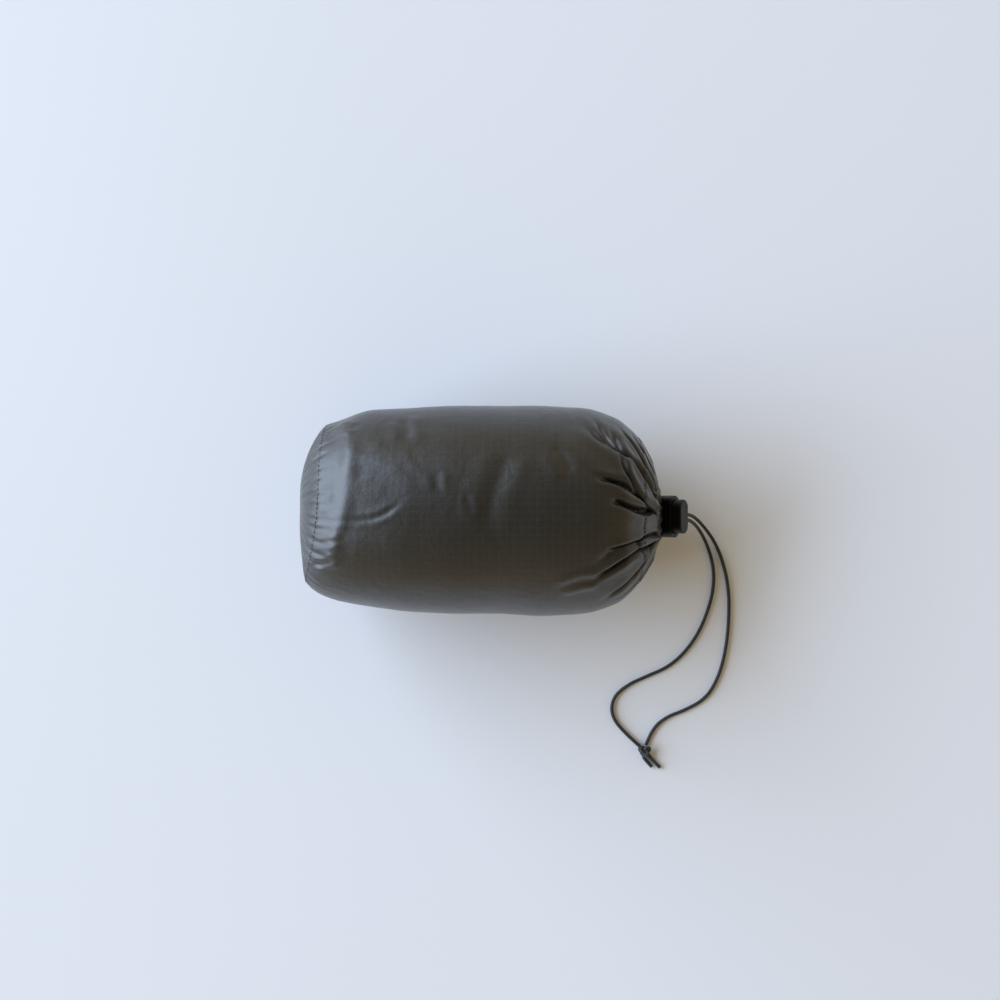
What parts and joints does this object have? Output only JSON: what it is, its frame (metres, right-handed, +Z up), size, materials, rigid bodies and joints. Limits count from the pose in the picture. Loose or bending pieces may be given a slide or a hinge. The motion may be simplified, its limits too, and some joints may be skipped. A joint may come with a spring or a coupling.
{
  "type": "packed mummy sleeping bag",
  "caption": "Down mummy sleeping bag rolled inside its drawcord stuff sack, lying on its side, with a spring cord lock on the drawn mouth.",
  "frame": {"origin": "bottom centre of the packed sack with its cord lock, on the floor it lies on, without the free drawcord", "axes": "+X from the sewn base panel to the drawn mouth, +Y across, +Z up"},
  "size_m": [0.309, 0.2632, 0.133],
  "materials": {
    "sack_ripstop": "satin",
    "sack_thread": "matte",
    "drawcord": "matte",
    "lock_plastic": "satin",
    "spring_steel": "satin",
    "bag_shell": "satin",
    "bag_liner": "satin",
    "down_fill": "matte",
    "baffle_mesh": "matte",
    "zipper_nylon": "satin",
    "bag_trim": "matte",
    "hood_lock_plastic": "satin"
  },
  "bodies": {
    "packed_sack": {"sack_base_panel": "sack_ripstop", "sack_side_panel": "sack_ripstop", "sack_drawcord_channel": "sack_ripstop", "sack_gathered_mouth": "sack_ripstop", "sack_side_seam": "sack_ripstop", "sack_base_seam_stitching": "sack_thread", "sack_channel_stitching": "sack_thread", "drawcord_channel_run": "drawcord", "drawcord_lock_run_1": "drawcord", "drawcord_lock_run_2": "drawcord", "drawcord_strand_1": "drawcord", "drawcord_strand_2": "drawcord", "drawcord_knot": "drawcord", "drawcord_tail_1": "drawcord", "drawcord_tail_2": "drawcord", "bag_top_shell": "bag_shell", "bag_bottom_shell": "bag_shell", "footbox_shell": "bag_shell", "hood_shell": "bag_shell", "zipper_draft_tube": "bag_shell", "draft_collar": "bag_shell", "bag_top_liner": "bag_liner", "bag_bottom_liner": "bag_liner", "footbox_liner": "bag_liner", "hood_liner": "bag_liner", "bag_top_down_chambers": "down_fill", "bag_bottom_down_chambers": "down_fill", "footbox_down": "down_fill", "hood_down": "down_fill", "bag_top_baffles": "baffle_mesh", "bag_bottom_baffles": "baffle_mesh", "zipper_tapes": "zipper_nylon", "zipper_coil": "zipper_nylon", "zipper_slider": "zipper_nylon", "zipper_pull_tab": "zipper_nylon", "hood_closure_tab": "bag_trim", "care_label": "bag_trim", "hood_drawcord": "bag_trim", "foot_hang_loops": "bag_trim", "hood_cord_lock_housing": "hood_lock_plastic", "hood_cord_lock_plunger": "hood_lock_plastic"},
    "cord_lock": {"cord_lock_housing": "lock_plastic", "cord_lock_spring": "spring_steel"},
    "lock_plunger": {"cord_lock_plunger": "lock_plastic"}
  },
  "joints": [
    {"name": "lock_slide", "type": "slide", "parent": "packed_sack", "child": "cord_lock", "axis": [0.5736, 0, -0.8192], "range_m": [0, 0.008]},
    {"name": "plunger_press", "type": "slide", "parent": "cord_lock", "child": "lock_plunger", "axis": [-0.8192, 0, -0.5736], "range_m": [0, 0.003], "stiffness_N_per_m": 1200, "springref_m": -0.002, "deforming": ["cord_lock_spring"]}
  ]
}
